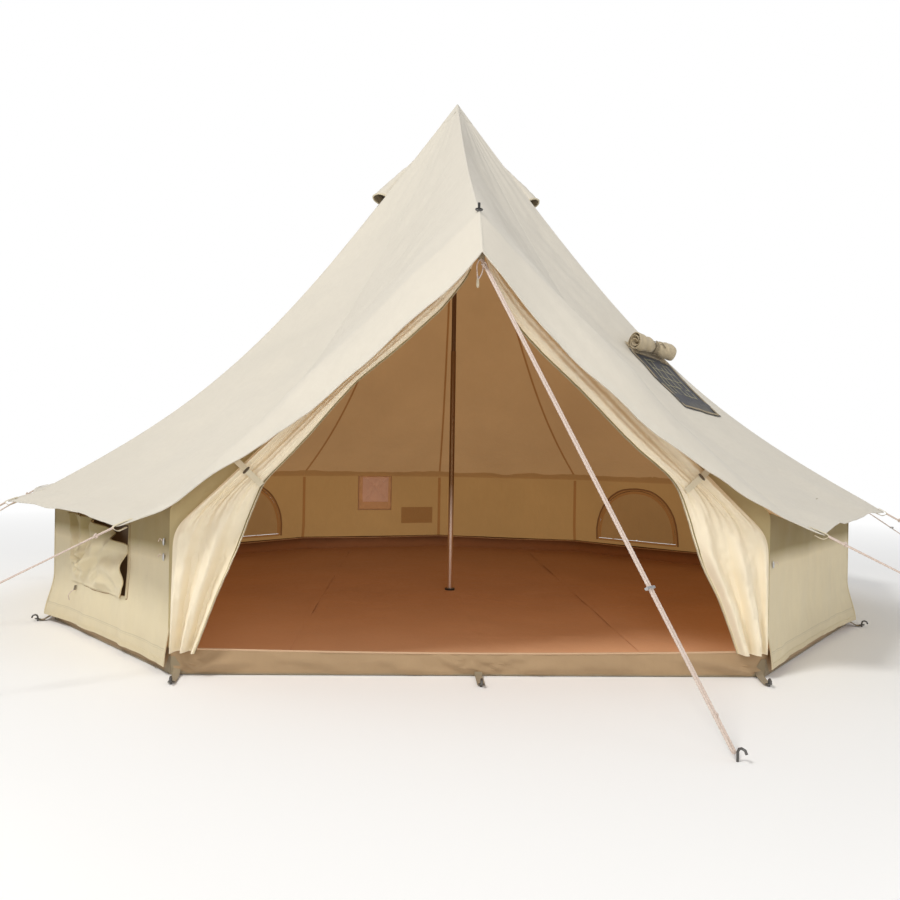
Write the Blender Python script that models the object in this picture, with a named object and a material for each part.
"""Bell tent: a conical cotton tent on one centre pole, with low side walls,
a sewn-in groundsheet tray and a framed doorway.  Metres, +Z up.
Origin: on the ground under the centre pole.  Front (doorway) faces -Y, +X is
the tent's right-hand side as seen from the front.
Seam angles are in degrees from the front, positive towards +X."""
import bpy
import bmesh
import math
from mathutils import Vector

for old in list(bpy.data.objects):
    bpy.data.objects.remove(old, do_unlink=True)

# ------------------------------------------------------------ driving sizes
APEX_Z = 2.54           # canvas apex above ground
WALL_R = 1.95           # radius to the wall seams (nominal 4 m tent)
EAVE_R = 2.115          # radius to the eave points
EAVE_Z = 0.508          # height of the eave points
CLOTH = 0.003           # canvas solid thickness
SEAM_STEP = 30          # degrees between seams
FRONT_SEAMS = (30, 330)                 # the seams beside the doorway
SEAMS = list(range(30, 331, SEAM_STEP))
SEAM_NAMES = dict(zip(SEAMS, (
    "front_right", "right_a", "right_b", "right_c", "back_right", "back",
    "back_left", "left_c", "left_b", "left_a", "front_left")))

DOOR_APEX_Z = 1.515     # canvas over the door frame's top
DOOR_Y = -WALL_R * math.cos(math.radians(SEAM_STEP))    # door plane
DOOR_X = WALL_R * math.sin(math.radians(SEAM_STEP))     # door half width
FRAME_Y = -1.66         # plane of the door frame's tubes

SIDES = ((-1, "left"), (1, "right"))
Y_AXIS = Vector((0, 1, 0))
UP = Vector((0, 0, 1))

# ------------------------------------------------------------ finishes
DARK_COLOR = (0.12, 0.12, 0.13)
STEEL_COLOR = (0.55, 0.56, 0.57)
CANVAS = dict(color=(0.80, 0.76, 0.66), roughness=0.85, metallic=0.0)
WALL_CLOTH = dict(color=(0.70, 0.63, 0.45), roughness=0.85, metallic=0.0)
TAN = dict(color=(0.42, 0.29, 0.16), roughness=0.85, metallic=0.0)
STEEL = dict(color=STEEL_COLOR, roughness=0.35, metallic=1.0)
SLIDER_GREY = dict(color=STEEL_COLOR, roughness=0.4, metallic=0.0)
ROPE = dict(color=(0.78, 0.66, 0.58), roughness=0.9, metallic=0.0)
DARK_PATCH = dict(color=DARK_COLOR, roughness=0.7, metallic=0.0)
DARK_FITTING = dict(color=DARK_COLOR, roughness=0.5, metallic=0.0)
SHARP_ANGLE = math.radians(40)


def material(name, color, roughness, metallic):
    made = bpy.data.materials.new(name)
    made.use_nodes = True
    inputs = made.node_tree.nodes["Principled BSDF"].inputs
    inputs["Base Color"].default_value = (*color, 1.0)
    inputs["Roughness"].default_value = roughness
    inputs["Metallic"].default_value = metallic
    made.diffuse_color = (*color, 1.0)
    return made


# ------------------------------------------------------------ objects
def link(name, mesh):
    """Turn a bmesh into an object with consistent normals."""
    data = bpy.data.meshes.new(name)
    mesh.to_mesh(data)
    mesh.free()
    piece = bpy.data.objects.new(name, data)
    bpy.context.scene.collection.objects.link(piece)
    return piece


def put(name, mesh, finish, smooth=False, origin=None, weld=True):
    """Add a visible piece; the mesh is in world coordinates."""
    if weld:
        bmesh.ops.remove_doubles(mesh, verts=mesh.verts, dist=1e-6)
    bmesh.ops.recalc_face_normals(mesh, faces=mesh.faces)
    if origin is not None:
        bmesh.ops.translate(mesh, verts=mesh.verts, vec=-Vector(origin))
    piece = link(name, mesh)
    if origin is not None:
        piece.location = Vector(origin)
    piece.data.materials.append(material(name + "_mat", **finish))
    if smooth:
        piece.data.shade_smooth()
        piece.data.set_sharp_from_angle(angle=SHARP_ANGLE)
    return piece


def combine(piece, name, mesh, operation="DIFFERENCE", self_hits=False):
    """Cut a hidden helper solid from a piece, or join it on."""
    bmesh.ops.recalc_face_normals(mesh, faces=mesh.faces)
    helper = link(name, mesh)
    helper.hide_render = True
    helper.display_type = "WIRE"
    modifier = piece.modifiers.new(name, "BOOLEAN")
    modifier.operation = operation
    modifier.object = helper
    modifier.solver = "EXACT"
    modifier.use_self = self_hits


def thicken(piece):
    """Give cloth its thickness, inwards from the modelled face."""
    modifier = piece.modifiers.new("cloth_thickness", "SOLIDIFY")
    modifier.thickness = CLOTH
    modifier.offset = -1.0
    modifier.use_even_offset = True


# ------------------------------------------------------------ solids
def polar(radius, degrees, z):
    angle = math.radians(degrees)
    return Vector((radius * math.sin(angle), -radius * math.cos(angle), z))


def level(vector):
    """Horizontal unit vector along a vector."""
    return Vector((vector.x, vector.y, 0)).normalized()


def side_axis(direction):
    """A unit vector square to a direction."""
    reference = UP if abs(direction.z) < 0.9 else Vector((1, 0, 0))
    return direction.cross(reference).normalized()


def add_ring(mesh, centre, axis_a, axis_b, radius, sides):
    angles = (2 * math.pi * j / sides for j in range(sides))
    return [mesh.verts.new(centre + (axis_a * math.cos(a) + axis_b * math.sin(a)) * radius)
            for a in angles]


def bridge(mesh, row_a, row_b, closed=True):
    """Quads between two rows of vertices."""
    count = len(row_a)
    for j in range(count if closed else count - 1):
        k = (j + 1) % count
        mesh.faces.new((row_a[j], row_a[k], row_b[k], row_b[j]))


def tube(points, radius, sides, closed=False, mesh=None):
    """Solid round bar along points, with a transported frame."""
    if mesh is None:
        mesh = bmesh.new()
    points = [Vector(p) for p in points]
    count = len(points)
    axis_a = side_axis((points[1] - points[-1 if closed else 0]).normalized())
    rings = []
    for i, point in enumerate(points):
        if closed:
            tangent = (points[(i + 1) % count] - points[i - 1]).normalized()
        else:
            tangent = (points[min(i + 1, count - 1)] - points[max(i - 1, 0)]).normalized()
        axis_a = (axis_a - tangent * axis_a.dot(tangent)).normalized()
        rings.append(add_ring(mesh, point, axis_a, tangent.cross(axis_a), radius, sides))
    for i in range(count if closed else count - 1):
        bridge(mesh, rings[i], rings[(i + 1) % count])
    if not closed:
        mesh.faces.new(rings[0][::-1])
        mesh.faces.new(rings[-1])
    return mesh


def hollow(start, end, outer, bore, sides):
    """Straight tube with an open bore."""
    mesh = bmesh.new()
    start, end = Vector(start), Vector(end)
    direction = (end - start).normalized()
    axis_a = side_axis(direction)
    axis_b = direction.cross(axis_a)
    rings = [add_ring(mesh, centre, axis_a, axis_b, radius, sides)
             for centre, radius in ((start, outer), (end, outer), (end, bore), (start, bore))]
    for i in range(4):
        bridge(mesh, rings[i], rings[(i + 1) % 4])
    return mesh


def prism(points, sweep, mesh=None):
    """Polygon swept along a vector."""
    if mesh is None:
        mesh = bmesh.new()
    near = [mesh.verts.new(Vector(p)) for p in points]
    far = [mesh.verts.new(Vector(p) + Vector(sweep)) for p in points]
    mesh.faces.new(near)
    mesh.faces.new(far[::-1])
    bridge(mesh, near, far)
    return mesh


def box(centre, axes, sizes, mesh=None):
    """Box with the given unit axes and full sizes."""
    half_a, half_b, half_c = [axis * (size / 2) for axis, size in zip(axes, sizes)]
    corners = [centre + half_a * i + half_b * j - half_c
               for i, j in ((-1, -1), (1, -1), (1, 1), (-1, 1))]
    return prism(corners, half_c * 2, mesh)


# ------------------------------------------------------------ roof surface
# radii of the vertex rings below the apex
RINGS = [0.08, 0.24, 0.42, 0.62, 0.82, 1.05, 1.24, 1.43, 1.68, WALL_R, EAVE_R]
EAVE_SLOPE = 0.519      # fall per metre far from the apex
EXTRA_SLOPE = 0.837     # added to it near the apex
EASE_R = 1.180          # radius where the extra slope is half gone
EASE_WIDTH = 0.276      # how gradually it goes
EAVE_PULL = {60: 0.095, 300: 0.045}     # how far these eave points are drawn in
SCALLOP_IN = 0.022      # mid-gore eave drawn in
SCALLOP_RISE = 0.62     # its rise, as a share of that

HOOD_Y = -1.84          # front hem of the canvas over the door
HOOD_Z = 1.355          # its peak
HOOD_TIP = (1.115, -1.80, 0.488)        # right front eave point
HOOD_FALL = 1.22        # hem's fall per metre at the peak
HOOD_EASE = 0.3955      # quadratic easing of that fall
DOOR_SAG = 0.05         # sag of the seam from the apex to the door frame


def drop(radius):
    """Fall of the free-hanging canvas from the apex."""
    outer = EASE_WIDTH * math.log(1 + math.exp((radius - EASE_R) / EASE_WIDTH))
    inner = EASE_WIDTH * math.log(1 + math.exp(-EASE_R / EASE_WIDTH))
    return EAVE_SLOPE * radius + EXTRA_SLOPE * (radius - outer + inner)


def past_wall(radius):
    """Share of the way from the wall to the eave, 0 inside the wall."""
    return max(0.0, (radius - WALL_R) / (EAVE_R - WALL_R))


def roof_z(radius):
    """Height of a roof seam: steep near the apex, easing out to the shallow
    eave, which the guys hold a little up."""
    return APEX_Z - drop(radius) + (EAVE_Z - APEX_Z + drop(EAVE_R)) * past_wall(radius)


# fall per metre of the straight canvas line over the sloped frame legs
DOOR_SLOPE = (DOOR_APEX_Z - roof_z(WALL_R)) / DOOR_X


def seam(degrees, radius):
    """Point on a roof seam.  The two front seams end in the door hood's tips."""
    beyond = past_wall(radius)
    if degrees in FRONT_SEAMS and beyond > 0:
        side = 1 if degrees == FRONT_SEAMS[0] else -1
        tip = Vector((side * HOOD_TIP[0], HOOD_TIP[1], HOOD_TIP[2]))
        return polar(WALL_R, degrees, roof_z(WALL_R)).lerp(tip, beyond)
    return polar(radius - beyond * EAVE_PULL.get(degrees, 0.0), degrees, roof_z(radius))


def main_seam(radius):
    """The seam from the apex over the door frame's top to the hood's peak."""
    frame_top = Vector((0, DOOR_Y, DOOR_APEX_Z))
    if radius > WALL_R:
        return frame_top.lerp(Vector((0, HOOD_Y, HOOD_Z)), past_wall(radius))
    share = radius / WALL_R
    point = Vector((0, 0, APEX_Z)).lerp(frame_top, share)
    point.z -= DOOR_SAG * math.sin(math.pi * share)
    return point


def front_point(side, share, radius):
    """Front gore: share = 0 on the seam beside the door, 1 on the main seam."""
    if radius < EAVE_R:
        degrees = FRONT_SEAMS[0] if side > 0 else FRONT_SEAMS[1]
        return seam(degrees, radius).lerp(main_seam(radius), share)
    x = HOOD_TIP[0] * (1 - share)
    y = HOOD_Y + (HOOD_TIP[1] - HOOD_Y) * (1 - share) ** 4
    z = HOOD_Z - HOOD_FALL * x + HOOD_EASE * x * x
    return Vector((side * x, y, z))


def gore_point(gore, share, radius):
    """Point on a gore: share = 0 on seam number gore of SEAMS, 1 on the next."""
    point = seam(SEAMS[gore], radius).lerp(seam(SEAMS[gore + 1], radius), share)
    if radius >= EAVE_R:
        pull = SCALLOP_IN * 4 * share * (1 - share)
        point = point - level(point) * pull + UP * (pull * SCALLOP_RISE)
    return point


def gore_axes(gore, share, upper_r, lower_r):
    """Unit axes of a gore between two radii: across, down slope, outward."""
    across = (gore_point(gore, 1.0, upper_r) - gore_point(gore, 0.0, upper_r)).normalized()
    down = (gore_point(gore, share, lower_r) - gore_point(gore, share, upper_r)).normalized()
    normal = across.cross(down)
    if normal.z < 0:
        normal = -normal
    return across, down, normal.normalized()


def gore_axes_at(gore, share, radius):
    return gore_axes(gore, share, radius - 0.01, radius + 0.01)


# ------------------------------------------------------------ canvas roof
def build_canopy():
    # columns run round the tent: (surface function, side or gore, share)
    columns = [(front_point, 1, share) for share in (1.0, 0.75, 0.5, 0.25, 0.0)]
    last = len(SEAMS) - 2
    for gore in range(last + 1):
        columns.append((gore_point, gore, 0.5))
        if gore < last:
            columns.append((gore_point, gore, 1.0))
    columns += [(front_point, -1, share) for share in (0.0, 0.25, 0.5, 0.75)]

    mesh = bmesh.new()
    apex = mesh.verts.new((0, 0, APEX_Z))
    grid = [[mesh.verts.new(surface(part, share, radius)) for surface, part, share in columns]
            for radius in RINGS]
    count = len(columns)
    for j in range(count):
        mesh.faces.new((apex, grid[0][j], grid[0][(j + 1) % count]))
    for upper, lower in zip(grid, grid[1:]):
        for j in range(count):
            k = (j + 1) % count
            mesh.faces.new((upper[j], lower[j], lower[k], upper[k]))
    bmesh.ops.recalc_face_normals(mesh, faces=mesh.faces)
    bmesh.ops.triangulate(mesh, faces=mesh.faces, quad_method="BEAUTY")
    canopy = put("canopy", mesh, CANVAS, weld=False)
    if canopy.data.polygons[0].normal.z < 0:        # roof faces must look up
        canopy.data.flip_normals()
    thicken(canopy)
    combine(canopy, "grommet_hole_cut",
            tube([(0, FRAME_Y, 1.40), (0, FRAME_Y, 1.66)], 0.010, 12))


# ------------------------------------------------------------ side wall
WALL_PULL = 0.065       # how far the wall corners next to the front are drawn in
TRAY_PULL = 0.067       # the same for the tray
WALL_TOP = 0.575        # nominal; the top edge is fitted under the roof
# z, corner radius, pull of the corners next to the front
WALL_LEVELS = [(0.030, 1.970, 0.050), (0.15, WALL_R, WALL_PULL), (WALL_TOP, WALL_R, WALL_PULL)]
ROOF_GAP = 0.0125       # wall top below the roof's outer face

# window outlines on a wall panel: distance along from its middle, z
HALF_MOON = [(0.30 * math.cos(math.pi * i / 10),
              0.125 + 0.35 * math.sin(math.pi * i / 10) ** 0.8) for i in range(11)]
# the along axis of panel 9 runs towards the doorway
LEFT_WINDOW = [(-0.36, 0.20), (0.20, 0.20), (0.20, 0.455), (-0.36, 0.455)]
# name, panel, outline
WINDOWS = [("left", 9, LEFT_WINDOW), ("back_left", 6, HALF_MOON), ("back_right", 3, HALF_MOON)]
CUT_REACH = 0.04        # window cutters reach this far either side of the wall
FLAP_GAP = 0.005        # flap edge to window edge
FLAP_INSET = 0.0005     # flap face behind the wall's outer face
FLAP_THICK = 0.0025


def corner(degrees, radius, z, pull=WALL_PULL):
    """Corner of the wall or tray under a seam; the two at 60 degrees either
    side of the front are drawn in and turned back."""
    if degrees in (60, 300):
        return polar(radius - pull, 64 if degrees == 60 else 296, z)
    return polar(radius, degrees, z)


def under_roof(x, y):
    """Height of the roof's facets above a point of the floor plan."""
    half_step = SEAM_STEP / 2
    degrees = math.degrees(math.atan2(x, -y)) % 360
    middle = math.floor(degrees / SEAM_STEP) * SEAM_STEP + half_step
    radius = (math.hypot(x, y) * math.cos(math.radians(degrees - middle))
              / math.cos(math.radians(half_step)))
    return roof_z(min(radius, WALL_R))


def wall_frame(panel):
    """Wall panel between two seams: foot of its middle, along, outward."""
    start = corner(SEAMS[panel], WALL_R, 0)
    end = corner(SEAMS[panel + 1], WALL_R, 0)
    along = (end - start).normalized()
    outward = Vector((along.y, -along.x, 0))
    middle = (start + end) / 2
    if outward.dot(middle) < 0:
        outward = -outward
    return middle, along, outward


def wall_prism(panel, outline, inner, outer):
    """Outline on a wall panel, swept between two distances outward."""
    middle, along, outward = wall_frame(panel)
    base = [middle + along * x + UP * z + outward * inner for x, z in outline]
    return prism(base, outward * (outer - inner))


def build_side_wall():
    mesh = bmesh.new()
    grid = []
    for z, radius, pull in WALL_LEVELS:
        corners = [corner(degrees, radius, z, pull) for degrees in SEAMS]
        row = [corners[0]]
        for before, after in zip(corners, corners[1:]):
            row += [(before + after) / 2, after]
        if z == WALL_TOP:
            for point in row:
                point.z = under_roof(point.x, point.y) - ROOF_GAP
        grid.append([mesh.verts.new(point) for point in row])
    for lower, upper in zip(grid, grid[1:]):
        bridge(mesh, lower, upper, closed=False)
    wall = put("side_wall", mesh, WALL_CLOTH, weld=False)
    face = wall.data.polygons[0]
    if face.normal.dot(face.center) < 0:            # wall faces must look out
        wall.data.flip_normals()
    thicken(wall)
    for name, panel, outline in WINDOWS:
        combine(wall, f"window_{name}_cut", wall_prism(panel, outline, -CUT_REACH, CUT_REACH))


def build_window_flap(name, panel, outline):
    """Flap inside a wall opening, with its origin on its bottom edge."""
    along_all = [x for x, _ in outline]
    z_all = [z for _, z in outline]
    mid_along = sum(along_all) / len(outline)
    mid_z = (min(z_all) + max(z_all)) / 2
    scale_along = 1 - 2 * FLAP_GAP / (max(along_all) - min(along_all))
    scale_z = 1 - 2 * FLAP_GAP / (max(z_all) - min(z_all))
    shape = [(mid_along + (x - mid_along) * scale_along, mid_z + (z - mid_z) * scale_z)
             for x, z in outline]
    middle, along, outward = wall_frame(panel)
    hinge = (middle + along * mid_along + UP * min(z for _, z in shape)
             - outward * (FLAP_INSET + FLAP_THICK / 2))
    mesh = wall_prism(panel, shape, -FLAP_INSET - FLAP_THICK, -FLAP_INSET)
    put("window_flap_" + name, mesh, WALL_CLOTH, origin=hinge)


# ------------------------------------------------------------ groundsheet
TRAY_R = 1.947          # tray corner radius
TRAY_H = 0.085          # bathtub upstand
TRAY_THICK = 0.004
TAB_WIDTH = 0.030
TAB_THICK = 0.003
TAB_Z = 0.0025          # mid height of the tabs
TAB_OVERLAP = 0.04      # tab length inside its foot point
EYE_INSET = 0.014       # eye centre from the tab's end
EYE_R = 0.0055


def base_tabs():
    """Peg tabs round the tray: name, foot point, outward direction, reach."""
    tabs = []
    for degrees, name in SEAM_NAMES.items():
        if degrees in FRONT_SEAMS:
            side = 1 if degrees == FRONT_SEAMS[0] else -1
            foot = Vector((side * 0.955, DOOR_Y + 0.022, 0))
            tabs.append((name, foot, level(Vector((-side * 0.10, -1.0, 0))), 0.145))
        else:
            foot = corner(degrees, TRAY_R - 0.01, 0, TRAY_PULL)
            tabs.append((name, foot, level(foot), 0.090))
    sill_y = -TRAY_R * math.cos(math.radians(SEAM_STEP)) + 0.01
    tabs.append(("sill", Vector((0.02, sill_y, 0)), -Y_AXIS, 0.150))
    return tabs


def build_groundsheet():
    inner_r = TRAY_R - TRAY_THICK / math.cos(math.radians(SEAM_STEP / 2))
    mesh = bmesh.new()
    rings = [[mesh.verts.new(corner(degrees, radius, z, TRAY_PULL)) for degrees in SEAMS]
             for radius, z in ((TRAY_R, 0.0), (TRAY_R, TRAY_H),
                               (inner_r, TRAY_H), (inner_r, TRAY_THICK))]
    for ring, following in zip(rings, rings[1:]):
        bridge(mesh, ring, following)
    mesh.faces.new(rings[0][::-1])
    mesh.faces.new(rings[-1])
    sheet = put("groundsheet", mesh, TAN, weld=False)

    # webbing tabs at the tray's foot, each with an eye for its peg
    tabs = bmesh.new()
    eyes = bmesh.new()
    for _, foot, outward, reach in base_tabs():
        foot = foot + UP * TAB_Z
        across = Vector((-outward.y, outward.x, 0))
        box(foot + outward * ((reach - TAB_OVERLAP) / 2), (across, outward, UP),
            (TAB_WIDTH, reach + TAB_OVERLAP, TAB_THICK), tabs)
        eye = foot + outward * (reach - EYE_INSET)
        tube([eye - UP * 0.02, eye + UP * 0.02], EYE_R, 8, mesh=eyes)
    combine(sheet, "peg_tabs_union", tabs, "UNION", self_hits=True)
    combine(sheet, "peg_eyes_cut", eyes)


# ------------------------------------------------------------ door flaps
FLAP_BACK_Y = -1.704    # face towards the inside
FLAP_FRONT_Y = -1.732   # face towards the front
TIE_Y = -1.7355         # mid plane of the tie-back straps


def door_line(x, below):
    """Height a distance below the canvas line over the sloped frame legs."""
    return DOOR_APEX_Z - DOOR_SLOPE * x - below


# gathered flap: along the sloped frame, down to the sill corner and back
# up past the tie.  Columns: distance from the centre line, z
DOOR_FLAP = [
    (0.035, door_line(0.035, 0.09)), (0.50, door_line(0.50, 0.092)),
    (0.950, door_line(0.950, 0.095)), (0.955, 0.30), (0.955, 0.094), (0.880, 0.094),
    (0.820, 0.27), (0.752, 0.42), (0.690, 0.62), (0.64, 0.672),
    (0.45, door_line(0.45, 0.235)), (0.20, door_line(0.20, 0.232)),
    (0.030, door_line(0.030, 0.200)),
]


def build_door_flap(side, tag):
    """Tied-back door flap and the strap over it, sharing one origin."""
    origin = (side * 0.95, -1.722, 0.55)
    mesh = prism([(side * x, FLAP_FRONT_Y, z) for x, z in DOOR_FLAP],
                 (0, FLAP_BACK_Y - FLAP_FRONT_Y, 0))
    put("door_flap_" + tag, mesh, WALL_CLOTH, origin=origin)

    inner_end = Vector((side * 0.685, TIE_Y, 0.614))
    outer_end = Vector((side * 0.766, TIE_Y, 0.690))
    length = (outer_end - inner_end).length
    along = (outer_end - inner_end).normalized()
    across = Y_AXIS.cross(along).normalized()
    mesh = box((inner_end + outer_end) / 2, (along, across, Y_AXIS), (length, 0.025, 0.003))
    put("door_tie_" + tag, mesh, TAN, origin=origin)


# ------------------------------------------------------------ roof fittings
VENT_TOP_R = 0.245      # radius of the vent hood's upper point
VENT_MOUTH_R = 0.415    # radius of its mouth
VENT_HALF = 0.078       # half width of the mouth
VENT_GORES = {"right": 1, "left": 8}


def build_vent_hood(tag, gore):
    """Stiffened canvas eyebrow high on a side of the roof."""
    across, down, normal = gore_axes(gore, 0.5, 0.24, 0.42)
    lift = normal * 0.002
    mouth = gore_point(gore, 0.5, VENT_MOUTH_R) + lift
    shoulder = normal * 0.036 + down * 0.006
    points = (
        gore_point(gore, 0.5, VENT_TOP_R) + lift,
        mouth - across * VENT_HALF,
        mouth + across * VENT_HALF,
        mouth + normal * 0.050 + down * 0.012,
        mouth - across * VENT_HALF * 0.62 + shoulder,
        mouth + across * VENT_HALF * 0.62 + shoulder,
    )
    mesh = bmesh.new()
    top, foot_a, foot_b, crown, arch_a, arch_b = [mesh.verts.new(p) for p in points]
    for face in ((top, foot_a, arch_a), (top, arch_a, crown), (top, crown, arch_b),
                 (top, arch_b, foot_b), (top, foot_b, foot_a), (foot_a, foot_b, arch_b),
                 (foot_a, arch_b, crown), (foot_a, crown, arch_a)):
        mesh.faces.new(face)
    put("vent_hood_" + tag, mesh, CANVAS)


STOVE_GORE = 0          # right front gore
# patch rows: radius, gore shares of its two ends
STOVE_ROWS = ((1.05, 0.58, 0.95), (1.24, 0.55, 0.90), (1.43, 0.515, 0.84))
PATCH_LIFTS = (0.0035, 0.0065)          # lower and upper face above the roof
ROLL_R = 0.042          # rolled-up cover
ROLL_AT_R = 1.10        # roof radius where it lies
ROLL_SHARES = (0.56, 0.92)


def build_stove_patch():
    """Fireproof patch of the stove jack, following the roof."""
    mesh = bmesh.new()
    low, high = [], []
    for radius, start, end in STOVE_ROWS:
        low.append([])
        high.append([])
        for share in (start, (start + end) / 2, end):
            point = gore_point(STOVE_GORE, share, radius)
            normal = gore_axes_at(STOVE_GORE, share, radius)[2]
            for rows, lift in zip((low, high), PATCH_LIFTS):
                rows[-1].append(mesh.verts.new(point + normal * lift))
    for i in range(2):
        for j in range(2):
            mesh.faces.new((high[i][j], high[i][j + 1], high[i + 1][j + 1], high[i + 1][j]))
            mesh.faces.new((low[i][j], low[i + 1][j], low[i + 1][j + 1], low[i][j + 1]))
    rim = ((0, 0), (0, 1), (0, 2), (1, 2), (2, 2), (2, 1), (2, 0), (1, 0))
    bridge(mesh, [low[i][j] for i, j in rim], [high[i][j] for i, j in rim])
    bmesh.ops.triangulate(mesh, faces=mesh.faces)
    put("stove_jack_patch", mesh, DARK_PATCH)


def build_stove_flap():
    """Cover of the stove jack, rolled up above the patch."""
    start, end = [gore_point(STOVE_GORE, share, ROLL_AT_R) for share in ROLL_SHARES]
    _, down, normal = gore_axes_at(STOVE_GORE, ROLL_SHARES[0], ROLL_AT_R)
    offset = normal * (ROLL_R + 0.016) - down * 0.005
    middle = (start + end) / 2
    mesh = tube([start + offset - (end - start).normalized() * 0.004,
                 middle + offset, end + offset], ROLL_R, 12)
    put("stove_jack_flap", mesh, WALL_CLOTH, origin=middle + normal * 0.012 - down * 0.03)


# ------------------------------------------------------------ centre pole
def upright(bottom, top, radius, sides):
    """Solid bar on the tent's axis."""
    return tube([(0, 0, bottom), (0, 0, top)], radius, sides)


def build_centre_pole():
    foot = put("pole_foot", upright(0.0045, 0.0125, 0.026, 20), DARK_FITTING, smooth=True)
    combine(foot, "pole_foot_stub", upright(0.006, 0.050, 0.0110, 16), "UNION")
    # the upper tube slides into the lower one
    put("pole_lower", hollow((0, 0, 0.0130), (0, 0, 1.25), outer=0.0135, bore=0.0118, sides=16),
        STEEL, smooth=True)
    put("pole_upper", hollow((0, 0, 1.05), (0, 0, 2.470), outer=0.0115, bore=0.0095, sides=16),
        STEEL, smooth=True)
    cap = put("pole_cap", upright(2.4705, 2.484, 0.0145, 16), DARK_FITTING, smooth=True)
    combine(cap, "pole_cap_plug", upright(2.440, 2.476, 0.0090, 16), "UNION")
    combine(cap, "pole_cap_spike", upright(2.440, 2.514, 0.0040, 8), "UNION")


# ------------------------------------------------------------ door frame
FRAME_R = 0.011         # tube radius
FRAME_BORE = 0.0092
SPIGOT_R = 0.0086
SPIGOT_REACH = 0.045    # spigot length inside the upper tube
KNEE_X = 0.925          # bent knees of the vertical legs
LEG_TOP_X = 0.036       # upper end of the sloped legs
BEND_END = 0.040        # knee to the end of the lower leg, along the slope
JOINT_HALF_X = 0.026
JOINT_DEPTH = 0.024


def leg_point(x):
    """Point on the centre line of the sloped legs, under the canvas."""
    return Vector((x, FRAME_Y, DOOR_APEX_Z - 0.019 - DOOR_SLOPE * abs(x)))


def build_frame_leg(side, tag):
    knee = leg_point(side * KNEE_X)
    top = leg_point(side * LEG_TOP_X)
    slope = (top - knee).normalized()
    bend_end = knee + slope * BEND_END
    put("frame_upper_" + tag,
        hollow(bend_end + slope * 0.0010, top, outer=FRAME_R, bore=FRAME_BORE, sides=12),
        STEEL, smooth=True)
    path = [(knee.x, knee.y, 0.0045), knee - UP * 0.040, knee - UP * 0.018 + slope * 0.004,
            knee - UP * 0.004 + slope * 0.018, knee + slope * 0.034, knee + slope * 0.037,
            bend_end]
    leg = put("frame_lower_" + tag, tube(path, FRAME_R, 12), STEEL, smooth=True)
    spigot = tube([bend_end - slope * 0.012, bend_end + slope * SPIGOT_REACH], SPIGOT_R, 10)
    combine(leg, "frame_spigot_" + tag, spigot, "UNION")


def build_frame_joint():
    """Top joint: a bent block with a pin upwards and a spigot into each leg."""
    peak_z = leg_point(0).z
    end_z = leg_point(JOINT_HALF_X).z
    outline = [(-JOINT_HALF_X, end_z - 0.013), (0, peak_z - 0.012),
               (JOINT_HALF_X, end_z - 0.013), (JOINT_HALF_X, end_z + 0.008),
               (0, peak_z + 0.013), (-JOINT_HALF_X, end_z + 0.008)]
    block = prism([(x, FRAME_Y - JOINT_DEPTH / 2, z) for x, z in outline], (0, JOINT_DEPTH, 0))
    joint = put("frame_top_joint", block, DARK_FITTING)
    pin = tube([(0, FRAME_Y, peak_z), (0, FRAME_Y, 1.556)], 0.0045, 10)
    combine(joint, "frame_top_pin", pin, "UNION")
    for side, _ in SIDES:
        top = leg_point(side * LEG_TOP_X)
        slope = (leg_point(side * KNEE_X) - top).normalized()
        spigot = tube([top - slope * 0.020, top + slope * SPIGOT_REACH], SPIGOT_R, 10)
        combine(joint, f"frame_top_spigot_{side}", spigot, "UNION")


# ------------------------------------------------------------ pegs and ropes
PEG_R = 0.0035
# hooked head: distance outward, distance below the peg's top
PEG_HEAD = [(0.0, 0.010), (0.003, 0.003), (0.010, 0.0), (0.019, 0.003), (0.023, 0.012)]
GUY_PEG = dict(depth=0.17, top=0.034)
BASE_PEG = dict(depth=0.15, top=0.026)

ROPE_R = 0.0025
GUY_REACH = 0.80        # eave point to guy peg, over the ground
FRONT_GROUND = (1.98, -2.30)            # right front corner guy's foot


def build_peg(name, place, direction, depth, top):
    """Steel peg: straight shank in the ground, hooked head pointing out."""
    outward = level(direction)
    path = [place - UP * depth]
    path += [place + outward * reach + UP * (top - below) for reach, below in PEG_HEAD]
    mesh = tube(path, PEG_R, 7)
    bmesh.ops.triangulate(mesh, faces=[face for face in mesh.faces if len(face.verts) > 4])
    put(name, mesh, STEEL, smooth=True)


def build_guy(degrees, name):
    """Rope from an eave point to its peg."""
    tip = seam(degrees, EAVE_R)
    if degrees in FRONT_SEAMS:
        side = 1 if degrees == FRONT_SEAMS[0] else -1
        ground = Vector((side * FRONT_GROUND[0], FRONT_GROUND[1], 0))
    else:
        ground = polar(EAVE_R + GUY_REACH, degrees, 0)
    outward = level(ground - tip)
    start = tip - UP * 0.004 + outward * 0.008
    end = ground + UP * 0.012 - outward * 0.0085
    put("guy_rope_" + name, tube([start, start.lerp(end, 0.5), end], ROPE_R, 6),
        ROPE, smooth=True)
    build_peg("guy_peg_" + name, ground, outward, **GUY_PEG)


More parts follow.
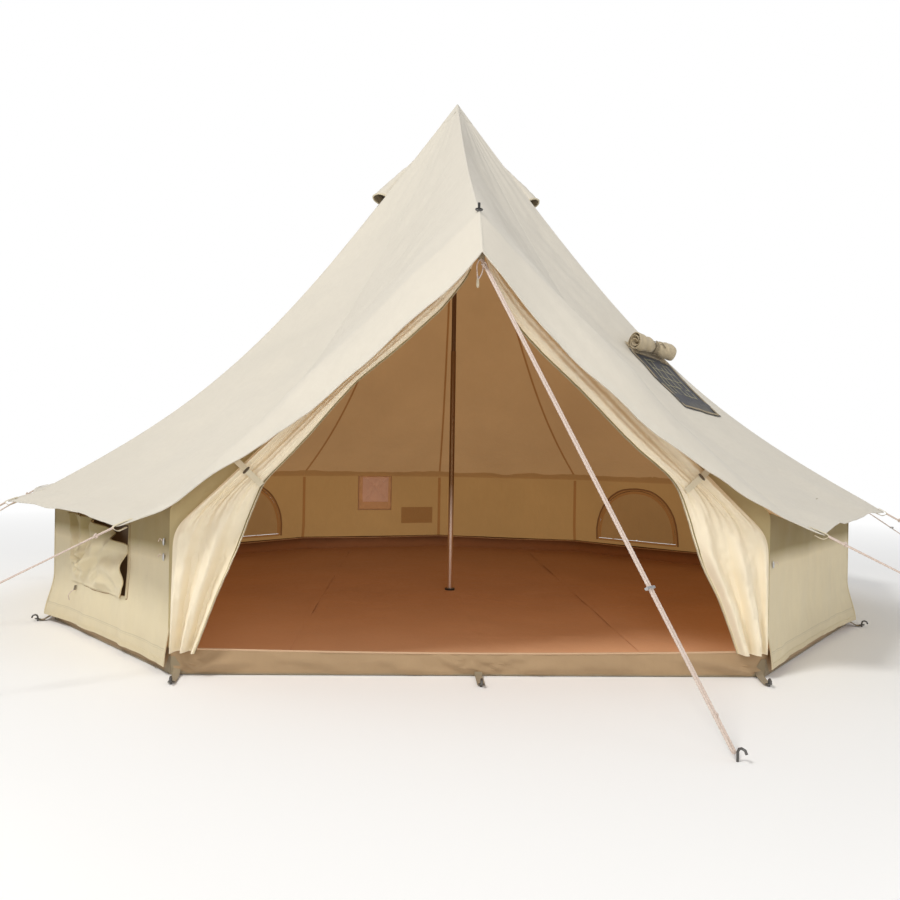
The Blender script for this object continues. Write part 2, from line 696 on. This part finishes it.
FRONT_GUY_TOP = Vector((0.0, -1.790, 1.345))
FRONT_GUY_FOOT = Vector((0.585, -2.450, 0.014))
LINE_HALF = 0.008       # half spacing of the doubled line
SLIDER_SHARE = 0.72     # slider's place down the line


def build_front_guy():
    """Doubled line from under the hood's peak, with its slider and peg."""
    top, foot = FRONT_GUY_TOP, FRONT_GUY_FOOT
    along = (foot - top).normalized()
    across = along.cross(UP).normalized()
    spread = across * LINE_HALF
    end = foot - along * 0.010
    middle = top.lerp(end, 0.5)
    lower = end - along * 0.004
    lower_tip = end + along * 0.002
    upper_tip = top - along * 0.006
    loop = [top + spread, middle + spread, lower + spread, lower_tip + spread * 0.5,
            lower_tip - spread * 0.5, lower - spread, middle - spread, top - spread,
            upper_tip - spread * 0.5, upper_tip + spread * 0.5]
    put("guy_rope_front", tube(loop, ROPE_R, 6, closed=True), ROPE, smooth=True)

    centre = top + along * ((foot - top).length * SLIDER_SHARE)
    block = box(centre, (across, across.cross(along), along), (0.034, 0.011, 0.007))
    slider = put("guy_slider_front", block, SLIDER_GREY, origin=centre)
    for side, _ in SIDES:
        line = centre + spread * side
        combine(slider, f"slider_hole_{side}",
                tube([line - along * 0.02, line + along * 0.02], 0.0031, 8))

    place = Vector((foot.x + 0.004, foot.y - 0.004, 0))
    build_peg("guy_peg_front", place, along, **GUY_PEG)


# ------------------------------------------------------------ build
build_canopy()
build_side_wall()
build_groundsheet()
for window in WINDOWS:
    build_window_flap(*window)
for side_sign, side_name in SIDES:
    build_door_flap(side_sign, side_name)
    build_vent_hood(side_name, VENT_GORES[side_name])
    build_frame_leg(side_sign, side_name)
build_stove_patch()
build_stove_flap()
build_centre_pole()
build_frame_joint()
for seam_degrees, seam_name in SEAM_NAMES.items():
    build_guy(seam_degrees, seam_name)
build_front_guy()
for tab_name, tab_foot, tab_outward, tab_reach in base_tabs():
    build_peg("base_peg_" + tab_name, tab_foot + tab_outward * (tab_reach - EYE_INSET),
              tab_outward, **BASE_PEG)
